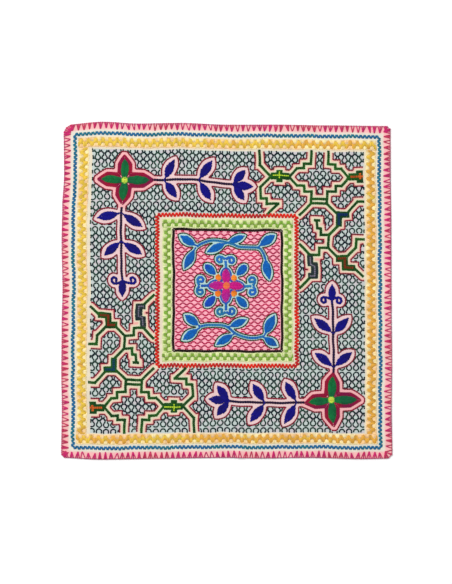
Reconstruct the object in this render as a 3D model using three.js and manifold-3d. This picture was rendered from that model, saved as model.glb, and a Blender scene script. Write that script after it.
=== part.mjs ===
// A square of cotton cloth with Shipibo embroidery, lying flat, in millimetres.
// X runs to the right and Y up the cloth as it is looked down on, and Z up from what it lies on.
// The origin is in the middle of the underside.
//
// The cloth is one piece: the woven ground with its hem, the blanket stitches that wrap its edge, and the
// embroidery. Thread lies on top of the ground, so each band, line, leaf and petal stands a little proud.
import * as THREE from "three";
import Module from "manifold-3d";
import { mergeVertices } from "three/addons/utils/BufferGeometryUtils.js";

const wasm = await Module();
wasm.setup();

// Driving dimensions
const CLOTH_WIDTH = 420;
const CLOTH_HEIGHT = 426;
const GROUND_THICKNESS = 1.2;
const LINE_RISE = 0.5;
const FILLED_RISE = 0.8;

// Levels worked out from them
const HALF_WIDTH = CLOTH_WIDTH / 2;
const HALF_HEIGHT = CLOTH_HEIGHT / 2;
const ROOT_LEVEL = GROUND_THICKNESS / 2;
const LINE_TOP = GROUND_THICKNESS + LINE_RISE;
const FILLED_TOP = GROUND_THICKNESS + FILLED_RISE;

// Outline: each corner's radius, and how far each side stands out from a true rectangle as the cloth lies.
// "along" runs from -1 to 1, from left to right or from bottom to top.
const CORNERS = [
  { right: 1, up: 1, radius: 6 },
  { right: -1, up: 1, radius: 12 },
  { right: -1, up: -1, radius: 6 },
  { right: 1, up: -1, radius: 8 },
];
const SIDES = {
  left: [
    { along: -1, out: 1.1 },
    { along: -0.7, out: 0.3 },
    { along: -0.5, out: 0.9 },
    { along: -0.2, out: 0.4 },
    { along: 0, out: -0.6 },
    { along: 0.3, out: 0.5 },
    { along: 0.5, out: -0.3 },
    { along: 0.7, out: -2.6 },
    { along: 1, out: -2 },
  ],
  right: [
    { along: -1, out: 1.1 },
    { along: -0.7, out: 0 },
    { along: -0.45, out: 0.5 },
    { along: -0.1, out: 0 },
    { along: 0.4, out: -0.4 },
    { along: 0.7, out: -1.2 },
    { along: 1, out: -1.4 },
  ],
  top: [
    { along: -1, out: -1.5 },
    { along: -0.76, out: 2.25 },
    { along: -0.55, out: 0 },
    { along: -0.28, out: 0.7 },
    { along: 0, out: -1.5 },
    { along: 0.3, out: -1.4 },
    { along: 0.6, out: -2.4 },
    { along: 1, out: -3.3 },
  ],
  bottom: [
    { along: -1, out: 0 },
    { along: -0.78, out: 2.25 },
    { along: -0.4, out: 1.1 },
    { along: 0, out: 0.1 },
    { along: 0.22, out: 0.9 },
    { along: 0.5, out: 0.1 },
    { along: 0.82, out: 1.6 },
    { along: 1, out: 1 },
  ],
};

// Bands of stitches that run round the cloth, by their middle line
const BANDS = [
  { halfWidth: 196.2, halfHeight: 199.5, width: 5.2, shiftX: 0, shiftY: 0 },
  { halfWidth: 184.7, halfHeight: 188.4, width: 13.6, shiftX: 0, shiftY: 0 },
  { halfWidth: 89, halfHeight: 96, width: 5.2, shiftX: 0.5, shiftY: 0.7 },
  { halfWidth: 77.6, halfHeight: 85, width: 12.4, shiftX: 0.8, shiftY: 0.9 },
  { halfWidth: 69.2, halfHeight: 77.4, width: 3.2, shiftX: 1.3, shiftY: 0.7 },
];
const BAND_STEPS = 5;

// Blanket stitches round the edge
const EDGE_STITCH = { pitch: 7.1, width: 5.2, depth: 7.6, proud: 0.6 };

// Corner flowers, each the centre of two leafy branches
const FLOWERS = [
  { x: -131.7, y: 141 },
  { x: 133.3, y: -138.2 },
];
const PETALS = [
  { flower: 0, heading: 0, length: 32.5, width: 11.5 },
  { flower: 0, heading: 90, length: 27, width: 10.7 },
  { flower: 0, heading: 180, length: 30.5, width: 10.7 },
  { flower: 0, heading: 267, length: 26, width: 11.5 },
  { flower: 1, heading: 0, length: 33, width: 11.5 },
  { flower: 1, heading: 86, length: 30.5, width: 11 },
  { flower: 1, heading: 189, length: 30, width: 10.7 },
  { flower: 1, heading: 275, length: 30, width: 11 },
];
const PETAL_BORDER = { across: 3.9, beyond: 4.9, bluntFrom: 0.66, tipWidth: 0.1 };
const FLOWER_EYE_RADIUS = 4.9;
const EYE_TOP = FILLED_TOP + 0.2;

// Branches start at a flower. Distances are along the stem, and "side" is the stem's offset to its left,
// which past the last pair of leaves eases to "endSide".
const BRANCHES = [
  { flower: 0, turn: 0, side: 0.4, end: 139, endSide: -4.5, tip: "trefoil" },
  { flower: 0, turn: 270, side: -3, end: 127, endSide: -2.2, tip: "scrolls" },
  { flower: 1, turn: 180, side: 4.2, end: 130, endSide: 2.5, tip: "trefoil" },
  { flower: 1, turn: 90, side: -2.7, end: 127, endSide: -1.3, tip: "scrolls" },
];
const LEAF_PAIRS = [
  { branch: 0, at: 50.4, leftLength: 28.5, leftTurn: 62, rightLength: 28.5, rightTurn: 54 },
  { branch: 0, at: 94.6, leftLength: 31.5, leftTurn: 55, rightLength: 30, rightTurn: 56 },
  { branch: 1, at: 41.7, leftLength: 32.5, leftTurn: 57, rightLength: 32, rightTurn: 76 },
  { branch: 1, at: 78.3, leftLength: 31, leftTurn: 60, rightLength: 28, rightTurn: 50.5 },
  { branch: 2, at: 44.2, leftLength: 31, leftTurn: 60, rightLength: 30.5, rightTurn: 63 },
  { branch: 2, at: 84, leftLength: 31, leftTurn: 51, rightLength: 28.5, rightTurn: 56 },
  { branch: 3, at: 42, leftLength: 29, leftTurn: 54, rightLength: 30, rightTurn: 50 },
  { branch: 3, at: 84.5, leftLength: 31, leftTurn: 52, rightLength: 28.5, rightTurn: 42 },
];
const STEM_START = 34;
const STEM_WIDTH = 3;
const LEAF_WIDTH = 11.2;
const TREFOIL = [
  { turn: 50, length: 24.5, width: 11.2 },
  { turn: -5, length: 27, width: 11.2 },
  { turn: -53, length: 24.5, width: 11.2 },
];
const BUD = { back: 3.5, length: 25, width: 10 };
const SCROLL = { innerRadius: 1.9, turns: 0.85, width: 2.4, steps: 6 };
// How far the curl on each side lies from its stem, and its radius
const SCROLLS = [
  { branch: 1, leftAway: 12.8, rightAway: 9.8, radius: 4.6 },
  { branch: 3, leftAway: 10, rightAway: 8.4, radius: 4.2 },
];

// Leaf and petal outline: points along each side, how far past the middle it is widest, and its narrow neck
const LEAF_SHAPE = { steps: 5, lean: 1.25, fullness: 0.8, neckWidth: 2 };
const DISC_SIDES = 11;

// Stepped-line corners, charted on a square unit about the middle of the stepped diamond
const CHART = { unit: 3.7, x: 119.2, y: 147, lineWidth: 3.7 };
const STEPPED_LINES = [
  [[-21, 9], [-21, 4], [-17, 0]],
  [[-17, 0], [-20.5, -3.5], [-20.5, -7.5], [-18.5, -7.5], [-18.5, -9.5], [-14.5, -9.5], [-18, -13]],
  [[-3, 9], [-3, 4.5], [-5.5, 4.5], [-5.5, 3], [-8, 3], [-10.5, 0]],
  [[-10.5, 0], [-8, -3], [-5.5, -3], [-5.5, -5], [-3, -5], [-3, -9.2]],
  [[3, 9], [3, 4.5], [5.5, 4.5], [5.5, 3], [7.5, 3], [10, 0]],
  [[10, 0], [7.5, -3], [5.5, -3], [5.5, -5], [2.5, -5], [2.5, -9.2]],
  [[-3, -7.7], [2.5, -7.7]],
  [[-7, -13.2], [-3, -9.2], [2.5, -9.2], [6, -12.7]],
  [[9.5, -12.4], [13, -8.4], [15, -8.4]],
  [[6.2, -16.8], [3, -20], [0.2, -20], [0.2, -17.8], [-1, -17.8], [-1, -15.2]],
  [[-1.8, -15.1], [-0.2, -15.1]],
  [[3, -20], [3, -24.5], [-0.2, -24.5], [-0.2, -27], [-3.5, -27], [-7, -23.5]],
  [[3, -24.5], [6, -27.5]],
  [[9.4, -27.5], [12.5, -24.4], [12.5, -21.4], [15, -21.4]],
  [[12, -31.6], [14.6, -34.2]],
  [[-3.4, -34.8], [-7, -38.4]],
];
const STEPPED_BLOCKS = [
  { left: -17, right: -10.5, bottom: -1.1, top: 1.1 },
  { left: -15, right: -13, bottom: -2.1, top: 2.1 },
  { left: 10, right: 15, bottom: -1.1, top: 1.1 },
  { left: 12.8, right: 15, bottom: -2.1, top: 2.1 },
  { left: 5.6, right: 9.7, bottom: -14, top: -12.1 },
  { left: 5.6, right: 7.5, bottom: -17, top: -12.1 },
  { left: -4.2, right: -2.3, bottom: -31, top: -27 },
  { left: -3.1, right: -0.8, bottom: -33.8, top: -29.6 },
  { left: -4.2, right: -0.8, bottom: -35.3, top: -33.4 },
  { left: 5.5, right: 9.6, bottom: -29, top: -27 },
  { left: 7.8, right: 9.6, bottom: -32.3, top: -27 },
  { left: 7.8, right: 12.2, bottom: -32.3, top: -30.4 },
];

// Middle panel: two leafy vines, and between them an ornament of four petals, dots, leaves and curls
const VINES = [
  [
    { x: -38, y: 56.2 },
    { x: -30, y: 61.2 },
    { x: -18.6, y: 64.7 },
    { x: -5, y: 63.2 },
    { x: 8.5, y: 60.5 },
    { x: 17, y: 57 },
    { x: 39.4, y: 55.8 },
    { x: 45.8, y: 50 },
    { x: 49.4, y: 41 },
  ],
  [
    { x: -36, y: -46.5 },
    { x: -24, y: -43.2 },
    { x: -9, y: -43.5 },
    { x: 1, y: -46.5 },
    { x: 11, y: -54 },
    { x: 22, y: -58.3 },
    { x: 35, y: -59 },
    { x: 47, y: -57.3 },
  ],
];
const VINE_WIDTH = 3.3;
const VINE_LEAVES = [
  { x: -37.5, y: 57.4, heading: 137, length: 26, width: 10.5 },
  { x: -38.8, y: 55.2, heading: 240, length: 29, width: 10.5 },
  { x: 0, y: 62, heading: 207, length: 26, width: 10.5 },
  { x: 0.8, y: 62.2, heading: 22, length: 24, width: 9 },
  { x: 39.5, y: 56, heading: 36, length: 27.5, width: 11 },
  { x: 49.2, y: 44, heading: 280, length: 29, width: 11 },
  { x: -34, y: -45, heading: 146, length: 24, width: 10.5 },
  { x: -34.5, y: -47.5, heading: 216, length: 26, width: 10.5 },
  { x: 1, y: -46.5, heading: 23, length: 27, width: 9.5 },
  { x: 10.3, y: -54.3, heading: 212, length: 27.5, width: 10 },
  { x: 47.1, y: -57, heading: 62, length: 30, width: 11.8 },
  { x: 46, y: -58.2, heading: 328, length: 22, width: 9.5 },
];
const ORNAMENT = { x: -1, y: 7, petalLength: 24, petalWidth: 15, eyeRadius: 4.8 };
const ORNAMENT_DOT = { away: 14, radius: 4.2 };
const ORNAMENT_LEAF = { away: 20, length: 18, width: 10 };
const ORNAMENT_CURL = { start: 22, end: 32.5, away: 7.2, radius: 4.4 };

// A value between the rows of one side's table, eased so that the edge has no kinks
function standsOut(rows, along) {
  const found = rows.findIndex((row) => row.along >= Math.min(along, 1));
  const to = rows[Math.max(found, 1)];
  const from = rows[Math.max(found, 1) - 1];
  const share = THREE.MathUtils.smoothstep(along, from.along, to.along);
  return THREE.MathUtils.lerp(from.out, to.out, share);
}

// Where a point of the true rectangle lies on the cloth as it is
function lie({ x, y }) {
  const right = (1 + x / HALF_WIDTH) / 2;
  const up = (1 + y / HALF_HEIGHT) / 2;
  const v = y / HALF_HEIGHT;
  const u = x / HALF_WIDTH;
  return new THREE.Vector2(
    x + right * standsOut(SIDES.right, v) - (1 - right) * standsOut(SIDES.left, v),
    y + up * standsOut(SIDES.top, u) - (1 - up) * standsOut(SIDES.bottom, u),
  );
}

// Solids
function solid(geometry) {
  geometry.deleteAttribute("normal");
  geometry.deleteAttribute("uv");
  const merged = mergeVertices(geometry, 1e-4);
  return new wasm.Manifold(
    new wasm.Mesh({
      numProp: 3,
      vertProperties: merged.attributes.position.array,
      triVerts: new Uint32Array(merged.index.array),
    }),
  );
}

function raised(outline, bottom, top, holes = []) {
  const shape = new THREE.Shape(outline.map(lie));
  shape.holes = holes.map((hole) => new THREE.Path(hole.map(lie)));
  const geometry = new THREE.ExtrudeGeometry(shape, { depth: top - bottom, bevelEnabled: false });
  geometry.translate(0, 0, bottom);
  return solid(geometry);
}

const degrees = THREE.MathUtils.degToRad;
const point = (x, y) => new THREE.Vector2(x, y);

function step(from, heading, distance) {
  const angle = degrees(heading);
  return point(from.x + Math.cos(angle) * distance, from.y + Math.sin(angle) * distance);
}

function roundingCentre({ right, up, radius }) {
  return point(right * (HALF_WIDTH - radius), up * (HALF_HEIGHT - radius));
}

// Outline of the cloth, anticlockwise, with each place's outward heading
function edgePlaces(spacing) {
  const places = [];
  CORNERS.forEach((corner, index) => {
    const next = CORNERS[(index + 1) % CORNERS.length];
    const centre = roundingCentre(corner);
    const heading = index * 90;
    const turns = Math.max(2, Math.round((corner.radius * Math.PI) / 2 / spacing));
    for (let i = 0; i < turns; i++) {
      const turned = heading + (i / turns) * 90;
      places.push({ ...step(centre, turned, corner.radius), heading: turned });
    }
    const start = step(centre, heading + 90, corner.radius);
    const end = step(roundingCentre(next), heading + 90, next.radius);
    const steps = Math.round(start.distanceTo(end) / spacing);
    for (let i = 0; i < steps; i++) {
      const at = start.clone().lerp(end, i / steps);
      places.push({ x: at.x, y: at.y, heading: heading + 90 });
    }
  });
  return places;
}

function ground() {
  const inwards = (place) => step(place, place.heading + 180, EDGE_STITCH.proud);
  return raised(edgePlaces(EDGE_STITCH.pitch * 2).map(inwards), 0, GROUND_THICKNESS);
}

// Each blanket stitch is a wedge of yarn that wraps the edge and points inwards
function edgeStitches() {
  const { pitch, width, depth } = EDGE_STITCH;
  return edgePlaces(pitch).map((place) => {
    const left = step(place, place.heading + 90, width / 2);
    const right = step(place, place.heading - 90, width / 2);
    const inner = step(place, place.heading + 180, depth);
    return raised([right, left, inner], 0, LINE_TOP);
  });
}

function rectangle(halfWidth, halfHeight, shiftX = 0, shiftY = 0) {
  const corners = [point(1, 1), point(-1, 1), point(-1, -1), point(1, -1)];
  return corners.flatMap((corner, index) => {
    const next = corners[(index + 1) % corners.length];
    return Array.from({ length: BAND_STEPS }, (_, i) => {
      const at = corner.clone().lerp(next, i / BAND_STEPS);
      return point(at.x * halfWidth + shiftX, at.y * halfHeight + shiftY);
    });
  });
}

function bands() {
  return BANDS.map(({ halfWidth, halfHeight, width, shiftX, shiftY }) => {
    const outer = rectangle(halfWidth + width / 2, halfHeight + width / 2, shiftX, shiftY);
    const inner = rectangle(halfWidth - width / 2, halfHeight - width / 2, shiftX, shiftY);
    return raised(outer, ROOT_LEVEL, LINE_TOP, [inner]);
  });
}

// A line of stitches through a row of points, with its corners mitred
function line(points, width) {
  const headings = points.slice(1).map((to, i) => {
    const from = points[i];
    return THREE.MathUtils.radToDeg(Math.atan2(to.y - from.y, to.x - from.x));
  });
  const side = (turn) =>
    points.map((at, i) => {
      const before = headings[Math.max(i - 1, 0)];
      const after = headings[Math.min(i, headings.length - 1)];
      const bend = THREE.MathUtils.euclideanModulo(after - before + 180, 360) - 180;
      return step(at, before + bend / 2 + turn, width / 2 / Math.cos(degrees(bend / 2)));
    });
  return raised([...side(-90), ...side(90).reverse()], ROOT_LEVEL, LINE_TOP);
}

// A leaf or petal: narrow where it is joined, widest past its middle, and pointed
function leaf(base, heading, length, width) {
  const { steps, lean, fullness, neckWidth } = LEAF_SHAPE;
  const side = (turn) =>
    Array.from({ length: steps }, (_, i) => {
      const share = i / steps;
      const wide = Math.max(width * Math.sin(Math.PI * share ** lean) ** fullness, neckWidth);
      return step(step(base, heading, share * length), heading + turn, wide / 2);
    });
  const tip = step(base, heading, length);
  return raised([...side(-90), tip, ...side(90).reverse()], ROOT_LEVEL, FILLED_TOP);
}

// The border round a petal: straight sides and a blunt point
function petalBorder(centre, heading, length, width) {
  const { across, beyond, bluntFrom, tipWidth } = PETAL_BORDER;
  const reach = length + beyond;
  const half = width / 2 + across;
  const side = (turn) => [
    step(centre, heading + turn, half),
    step(step(centre, heading, reach * bluntFrom), heading + turn, half),
    step(step(centre, heading, reach), heading + turn, half * tipWidth),
  ];
  return raised([...side(-90), ...side(90).reverse()], ROOT_LEVEL, LINE_TOP);
}

function disc(centre, radius, top = FILLED_TOP) {
  const corner = (_, i) => step(centre, (i / DISC_SIDES) * 360, radius);
  const outline = Array.from({ length: DISC_SIDES }, corner);
  return raised(outline, ROOT_LEVEL, top);
}

// A line that leaves the end of a stem, swings outward past its tip and curls up
function scroll(base, heading, handed, away, radius) {
  const { innerRadius, turns, width, steps } = SCROLL;
  const outward = heading + 90 * handed;
  const centre = step(base, outward, away);
  const curl = Array.from({ length: steps + 1 }, (_, i) => {
    const share = i / steps;
    const turned = heading + handed * share * turns * 360;
    return step(centre, turned, THREE.MathUtils.lerp(radius, innerRadius, share));
  });
  const leaves = step(base, heading, radius * 0.3);
  const swings = step(step(base, outward, away / 2), heading, radius * 0.85);
  return line([leaves, swings, ...curl], width);
}

function flower(centre, number) {
  const petals = PETALS.filter((row) => row.flower === number).flatMap(({ heading, length, width }) => [
    petalBorder(centre, heading, length, width),
    leaf(centre, heading, length, width),
  ]);
  return [...petals, disc(centre, FLOWER_EYE_RADIUS, EYE_TOP)];
}

const BRANCH_TIPS = {
  trefoil: (base, turn) => TREFOIL.map((lobe) => leaf(base, turn + lobe.turn, lobe.length, lobe.width)),
  scrolls: (base, turn, number) => {
    const { leftAway, rightAway, radius } = SCROLLS.find((row) => row.branch === number);
    return [
      leaf(step(base, turn, -BUD.back), turn, BUD.length, BUD.width),
      scroll(base, turn, 1, leftAway, radius),
      scroll(base, turn, -1, rightAway, radius),
    ];
  },
};

function branch({ flower: index, turn, side, end, endSide, tip }, number) {
  const place = (distance, offset) => step(step(FLOWERS[index], turn, distance), turn + 90, offset);
  const rows = LEAF_PAIRS.filter((row) => row.branch === number);
  const pairs = rows.flatMap(({ at, leftLength, leftTurn, rightLength, rightTurn }) => [
    leaf(place(at, side), turn + leftTurn, leftLength, LEAF_WIDTH),
    leaf(place(at, side), turn - rightTurn, rightLength, LEAF_WIDTH),
  ]);
  const lastPair = place(rows.at(-1).at, side);
  const stem = line([place(STEM_START, side), lastPair, place(end, endSide)], STEM_WIDTH);
  return [stem, ...pairs, ...BRANCH_TIPS[tip](place(end, endSide), turn, number)];
}

// The stepped corner is stitched twice, the second turned half round
function steppedCorner(sign) {
  const { unit, x, y, lineWidth } = CHART;
  const place = ([right, up]) => point(sign * (x + right * unit), sign * (y + up * unit));
  const lines = STEPPED_LINES.map((points) => line(points.map(place), lineWidth));
  const blocks = STEPPED_BLOCKS.map(({ left, right, bottom, top }) => {
    const corners = [[left, bottom], [right, bottom], [right, top], [left, top]];
    return raised(corners.map(place), ROOT_LEVEL, FILLED_TOP);
  });
  return [...lines, ...blocks];
}

function ornament() {
  const arms = [0, 90, 180, 270].flatMap((heading) => {
    const end = step(ORNAMENT, heading, ORNAMENT_CURL.end);
    const { length, width } = ORNAMENT_LEAF;
    return [
      leaf(ORNAMENT, heading, ORNAMENT.petalLength, ORNAMENT.petalWidth),
      disc(step(ORNAMENT, heading + 45, ORNAMENT_DOT.away), ORNAMENT_DOT.radius),
      leaf(step(ORNAMENT, heading + 45, ORNAMENT_LEAF.away), heading + 45, length, width),
      line([step(ORNAMENT, heading, ORNAMENT_CURL.start), end], SCROLL.width),
      scroll(end, heading, 1, ORNAMENT_CURL.away, ORNAMENT_CURL.radius),
      scroll(end, heading, -1, ORNAMENT_CURL.away, ORNAMENT_CURL.radius),
    ];
  });
  return [...arms, disc(ORNAMENT, ORNAMENT.eyeRadius, EYE_TOP)];
}

function middlePanel() {
  const vines = VINES.map((rows) => line(rows, VINE_WIDTH));
  const leaves = VINE_LEAVES.map((row) => leaf(row, row.heading, row.length, row.width));
  return [...vines, ...leaves, ...ornament()];
}

const embroidery = [
  ...bands(),
  ...FLOWERS.flatMap(flower),
  ...BRANCHES.flatMap(branch),
  ...steppedCorner(1),
  ...steppedCorner(-1),
  ...middlePanel(),
];
const cloth = wasm.Manifold.union([ground(), ...edgeStitches(), ...embroidery]);

function geometryOf(manifold) {
  const { vertProperties, triVerts } = manifold.getMesh();
  const geometry = new THREE.BufferGeometry();
  geometry.setAttribute("position", new THREE.BufferAttribute(vertProperties, 3));
  geometry.setIndex(new THREE.BufferAttribute(triVerts, 1));
  geometry.computeVertexNormals();
  return geometry;
}

const cotton = new THREE.MeshStandardMaterial({ color: 0xf0e0c0, roughness: 0.9, metalness: 0 });
const clothMesh = new THREE.Mesh(geometryOf(cloth), cotton);
clothMesh.name = "cloth";

const part = new THREE.Group();
part.add(clothMesh);

export default part;
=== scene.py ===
"""A square cotton cloth with Shipibo embroidery, laid flat and seen from straight above.

Every stitch is a small closed mesh, and the stitches of one colour make one piece. They lie on a thin
ground cloth that stands for the CAD node. Sizes are in millimetres in the plane of the cloth, and
heights are above the ground cloth's face, until to_world() puts them in the row frame.
"""
import math
from collections import namedtuple
from functools import partial

import bpy
import numpy as np
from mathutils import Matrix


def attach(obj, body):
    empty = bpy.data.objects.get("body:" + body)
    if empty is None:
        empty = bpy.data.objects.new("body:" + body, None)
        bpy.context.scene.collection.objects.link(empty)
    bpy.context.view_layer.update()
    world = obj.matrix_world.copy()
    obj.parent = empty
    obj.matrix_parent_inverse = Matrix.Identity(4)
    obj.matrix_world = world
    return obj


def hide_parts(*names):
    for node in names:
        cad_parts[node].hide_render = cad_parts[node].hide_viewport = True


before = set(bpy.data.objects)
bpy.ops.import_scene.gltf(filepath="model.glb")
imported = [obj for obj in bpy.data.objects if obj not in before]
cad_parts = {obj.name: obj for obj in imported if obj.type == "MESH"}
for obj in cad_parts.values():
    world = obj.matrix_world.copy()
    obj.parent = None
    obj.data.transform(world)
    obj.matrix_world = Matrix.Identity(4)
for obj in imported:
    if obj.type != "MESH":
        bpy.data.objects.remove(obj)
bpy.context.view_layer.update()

# Driving dimensions
HALF_WIDTH, HALF_HEIGHT = 210.0, 213.0
FACE_HEIGHT = 1.35
GROUND_THICKNESS, GROUND_CELL, GROUND_INSET = 0.75, 2.0, 0.6
# Share of its thickness that each face of the ground gives up at the rim
RIM_THINNING = 0.3
# How far the ends of stitches go below the face
SINK = 0.5
FIELD = {"half": (175.0, 180.0), "centre": (1.0, -0.5)}
RED_FRAME = {"half": (89.0, 96.0), "centre": (0.5, 0.7)}
PANEL = {"half": (69.2, 77.4), "centre": (1.3, 0.7)}
# How far the outer field keeps off the red line's middle, and the panel off the black line's
RED_LINE_ROOM, BLACK_LINE_ROOM = 2.85, 1.2

# Outline: corners anticlockwise from the top right, as right, up, radius
CORNERS = [(1, 1, 6), (-1, 1, 12), (-1, -1, 6), (1, -1, 8)]
# How far each side lies outside its true line, as (along, out) rows
LEFT = [
    (-1, 1.1), (-0.7, 0.3), (-0.5, 0.9), (-0.2, 0.4), (0, -0.6),
    (0.3, 0.5), (0.5, -0.3), (0.7, -2.6), (1, -2),
]
RIGHT = [(-1, 1.1), (-0.7, 0), (-0.45, 0.5), (-0.1, 0), (0.4, -0.4), (0.7, -1.2), (1, -1.4)]
TOP = [(-1, -1.5), (-0.76, 2.25), (-0.55, 0), (-0.28, 0.7), (0, -1.5), (0.3, -1.4), (0.6, -2.4), (1, -3.3)]
BOTTOM = [(-1, 0), (-0.78, 2.25), (-0.4, 1.1), (0, 0.1), (0.22, 0.9), (0.5, 0.1), (0.82, 1.6), (1, 1)]
# The fold mark at the middle of the lower edge
CREASE = {"x": 17.0, "width": 5.0, "end": -110.0, "height": 1.2, "lean": 0.04}
# The drift of handwork: its slow and quick waves, and how near the edge it fades out
DRIFT_SLOW, DRIFT_QUICK, DRIFT_FADE = 0.34, 0.22, 12
LONG_RIPPLE, SHORT_RIPPLE = 0.55, 0.22

# Colours of the ground, as sRGB
CREAM, MINT, LILAC = (222, 210, 186), (188, 200, 196), (198, 192, 196)
# Over the cream: a value of the ground, where a colour starts and is full, its share, the colour
GROUND_LAYERS = [
    ("mint", -2.6, -3.6, 0.8, (212, 214, 178)),
    ("mint", -3.2, -1.0, 1.0, (232, 168, 156)),
    ("branch", 5.4, 4.2, 1.0, (226, 194, 194)),
    ("flower", 5.4, 4.2, 1.0, (234, 172, 174)),
    ("outside", -2, 0, 1.0, CREAM),
    ("edge", 19, 17, 1.0, (222, 218, 202)),
    ("edge", 10.5, 7, 1.0, (240, 180, 178)),
    ("mint", -0.3, 0.3, 1.0, MINT),
    ("panel", -0.5, 0.5, 1.0, (176, 210, 204)),
    ("pink", -0.3, 0.3, 1.0, (244, 170, 184)),
]
# Values of the ground that are high inside their area; the others are distances
INSIDE_VALUES = ("mint", "panel", "pink")
# The size of all of them on the back, which stays cream
BACK_VALUE = 20.0
# Threads of the weave, in metres from one to the next but one
WEAVE = 0.0011

# Threads, as sRGB: piece, its colour and the tone that it drifts to
THREADS = {
    "flower_petals": ((8, 108, 54), (12, 90, 54)),
    "flower_borders": ((152, 12, 50), (126, 12, 66)),
    "flower_eyes": ((206, 226, 60), (230, 240, 90)),
    "flower_eye_rims": ((110, 184, 50), (90, 180, 60)),
    "branch_leaves": ((10, 4, 120), (14, 8, 104)),
    "branch_stems": ((24, 12, 52), (40, 16, 48)),
    "stepped_lines": ((14, 66, 20), (30, 88, 24)),
    "blocks_green": ((14, 62, 22), (26, 84, 20)),
    "blocks_slate": ((36, 52, 50), (30, 44, 50)),
    "blocks_teal": ((8, 40, 92), (8, 58, 84)),
    "blocks_grey": ((126, 120, 138), (112, 108, 128)),
    "blocks_brown": ((128, 34, 16), (112, 44, 16)),
    "blocks_lime": ((186, 230, 50), (206, 234, 60)),
    "blocks_orange": ((214, 100, 36), (178, 74, 20)),
    "vine_leaves": ((8, 96, 178), (16, 86, 166)),
    "vine_stems": ((34, 118, 168), (8, 96, 178)),
    "ornament_petals": ((196, 20, 126), (170, 30, 140)),
    "ornament_edges": ((44, 66, 166), (40, 80, 180)),
    "ornament_dots": ((234, 120, 30), (250, 150, 50)),
    "ornament_curls": ((34, 118, 168), (30, 90, 180)),
    "ornament_leaves": ((20, 70, 180), (8, 96, 178)),
    "motif_outlines": ((130, 12, 44), (112, 28, 44)),
    "panel_outlines": ((20, 62, 28), (70, 60, 40)),
    "field_net": ((4, 28, 38), (26, 60, 48)),
    "panel_net": ((186, 28, 80), (170, 28, 76)),
    "blue_line": ((30, 98, 146), (26, 110, 132)),
    "gold_band": ((224, 188, 70), (218, 162, 64)),
    "gold_filling": ((244, 224, 166), (244, 202, 146)),
    "red_line": ((212, 32, 16), (176, 26, 32)),
    "green_band": ((124, 168, 60), (128, 160, 62)),
    "green_filling": ((218, 226, 166), (206, 222, 150)),
    "black_line": ((20, 9, 4), (40, 24, 20)),
    "edge_stitches": ((200, 38, 108), (196, 54, 92)),
    # The thread along the rim is the rose of the edge stitches, painted darker as shade at the edge.
    "edge_thread": ((150, 60, 96), (200, 60, 110)),
}
# Where the drift of the dye isn't the usual one
DYE = {"field_net": {"patch_mm": 20}, "gold_band": {"patch_mm": 14, "across": 0.9}}
# How many sides the thread of a piece has
SIDES, MORE_SIDES = 5, {"edge_stitches": 6}
TWIST_MM, CONTRAST = 1.5, 0.16
# How far from its ends a stitch is full, in mm and at most as a share of it, and how thick it is there
STITCH_ROOT, ROOT_SHARE, ROOT_THICK, JOINT_THICK, LIFT_UNEVEN = 0.9, 0.3, 0.5, 0.8, 0.04

# Corner flowers: their middles, then flower, heading, length and width of each petal
FLOWERS = np.array([(-131.7, 141.0), (133.3, -138.2)])
PETALS = [
    (0, 0, 32.5, 11.5),
    (0, 91, 27, 10.7),
    (0, 180, 30.5, 10.7),
    (0, 265.5, 26.5, 11.5),
    (1, 0, 33, 11.5),
    (1, 86, 30.5, 11),
    (1, 189, 30, 10.7),
    (1, 275, 30, 11),
]
PETAL_BORDER, EYE_RADIUS = 4.1, 4.1
DISC_PITCH, DISC_STITCH = 1.1, {"width": 1.25, "rise": 0.5, "height": 0.9}
BORDER_THREAD = {"width": 1.9, "height": 0.9, "stitch": 3.0, "dip": 0.15}
EYE_RIM_THREAD = {"width": 1.6, "rise": 0.6, "height": 0.9}
# The rows of thread in a border: how far inside its edge, and how high
BORDER_ROWS = [(0.8, 0.36), (2.2, 0.36), (3.6, 0.3), (5.1, 0.05), (6.6, 0.05), (8.1, 0.05), (9.6, 0.05)]

# Branches: flower, heading, side of the stem, where it ends, its side there, and its tip
BRANCHES = [
    (0, 0, 0.4, 139, -4.5, "trefoil"),
    (0, 270, -3, 127, -2.2, "scrolls"),
    (1, 180, 4.2, 130, 2.5, "trefoil"),
    (1, 90, -2.7, 127, -1.3, "scrolls"),
]
# Branch, place along it, then length and turn of the left and of the right leaf
LEAF_PAIRS = [
    (0, 50.4, 28.5, 62, 28.5, 54),
    (0, 94.6, 31.5, 55, 30, 56),
    (1, 41.7, 32.5, 57, 32, 76),
    (1, 78.3, 31, 60, 28, 50.5),
    (2, 44.2, 31, 60, 30.5, 63),
    (2, 84, 31, 51, 28.5, 56),
    (3, 42, 29, 54, 30, 50),
    (3, 84.5, 31, 52, 28.5, 42),
]
STEM_START, STEM_WIDTH, LEAF_WIDTH = 34.0, 3.5, 11.2
STEM_STITCH = {"rise": 0.4, "height": 0.9}
# How much nearer to a stem its outline lies than to other motifs
STEM_RING_CUT = 0.5
# Turn, length and width of the leaves of a trefoil
TREFOIL = [(50, 24.5, 11.2), (-5, 27, 11.2), (-53, 24.5, 11.2)]
BUD = {"back": 3.5, "length": 25, "width": 10}
TIP_FILL = {"ahead": 4.2, "radius": 3.4}
SCROLL_INNER, SCROLL_TURNS, SCROLL_WIDTH = 1.5, 1.0, 3.8
# Branch, then how far its left and its right scroll lie from the stem, and their radius
SCROLLS = [(1, 12.8, 9.8, 4.6), (3, 10, 8.4, 4.2)]

# Shapes of leaves and petals, as shares of their length and powers of the curve of their edge
LEAF_NECK, LEAF_LEAN, LEAF_FULLNESS, NECK_HALF = 0.12, 1.05, 0.78, 1.2
PETAL_LEAN, PETAL_FULLNESS = 1.15, 0.5
ARM_POINT, ARM_BLUNTNESS, ARM_FULLNESS = 0.36, 0.06, 0.75
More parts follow.
